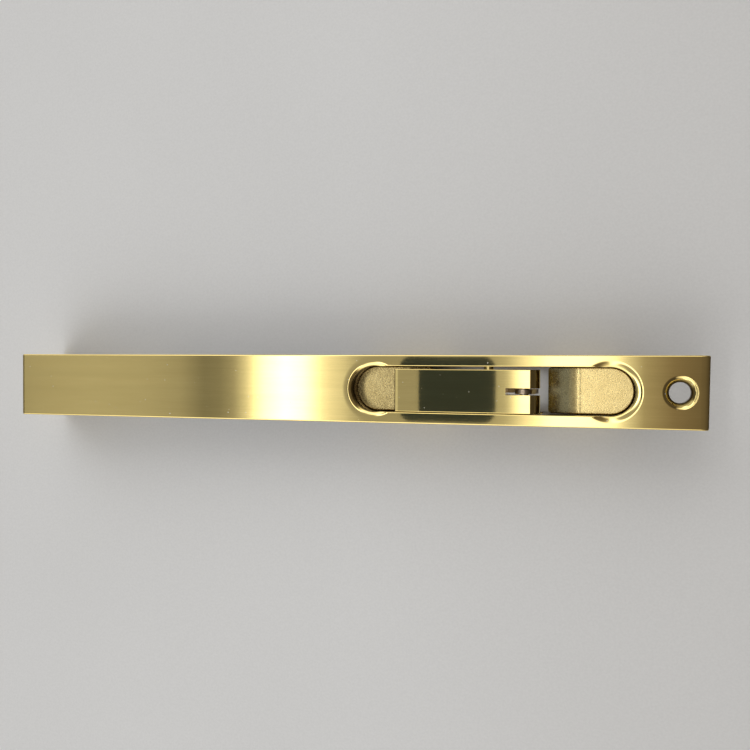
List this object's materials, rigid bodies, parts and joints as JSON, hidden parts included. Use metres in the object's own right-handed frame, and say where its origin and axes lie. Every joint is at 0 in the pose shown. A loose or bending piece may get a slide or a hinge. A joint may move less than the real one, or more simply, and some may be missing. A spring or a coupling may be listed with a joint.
{
  "type": "flush bolt",
  "caption": "Lever flush bolt: a long brass faceplate with a lever that flips over in a round-ended slot and slides a round bolt out of the plate's end.",
  "frame": {"origin": "middle of the faceplate's front face", "axes": "+X along the faceplate away from the end where the bolt comes out, +Y across it, +Z out of its front face"},
  "size_m": [0.2032, 0.019, 0.0205],
  "materials": {
    "polished_brass": "brushed lengthwise and polished, lacquered",
    "cast_brass": "sand cast, tumbled, matte",
    "steel": "bright zinc plated, turned",
    "zinc_plated_steel": "zinc plated strip",
    "link_steel": "blanked strip, dark plated",
    "spring_bronze": "rolled strip, satin"
  },
  "bodies": {
    "plate": {"faceplate": "polished_brass", "lever_housing": "cast_brass", "left_recess_floor": "cast_brass", "right_recess_floor": "cast_brass", "lever_pivot_pin": "polished_brass", "rod_guide": "zinc_plated_steel", "end_guide": "cast_brass", "rod_spring": "spring_bronze", "housing_screw_1": "steel", "housing_screw_2": "steel", "housing_screw_3": "steel", "housing_screw_4": "steel", "recess_floor_screw_1": "steel", "recess_floor_screw_2": "steel", "recess_floor_screw_3": "steel", "recess_floor_screw_4": "steel", "recess_floor_screw_5": "steel", "recess_floor_screw_6": "steel", "recess_floor_screw_7": "steel", "recess_floor_screw_8": "steel", "rod_guide_screw_1": "steel", "rod_guide_screw_2": "steel", "end_guide_screw_1": "steel", "end_guide_screw_2": "steel", "rod_spring_screw": "steel"},
    "lever": {"lever": "polished_brass", "crank_pin": "steel"},
    "link": {"link": "link_steel", "rod_pin": "steel"},
    "rod": {"rod": "zinc_plated_steel", "bolt": "polished_brass", "rod_rivet_1": "steel", "rod_rivet_2": "steel"}
  },
  "joints": [
    {"name": "lever_flip", "type": "hinge", "parent": "plate", "child": "lever", "pos_m": [0.0456, -0.0003, -0.003], "axis": [0, 1, 0], "range_deg": [0, 180]},
    {"name": "link_swing", "type": "hinge", "parent": "lever", "child": "link", "pos_m": [0.0551, -0.0003, -0.003], "axis": [0, 1, 0], "range_deg": [-180, 0]},
    {"name": "rod_slide", "type": "slide", "parent": "plate", "child": "rod", "axis": [-1, 0, 0], "range_m": [0, 0.019]}
  ],
  "couplings": [
    {"joint": "link_swing", "follows": "lever_flip", "ratio": -1},
    {"joint": "rod_slide", "follows": "lever_flip", "m_per_rad": 0.0060478}
  ]
}
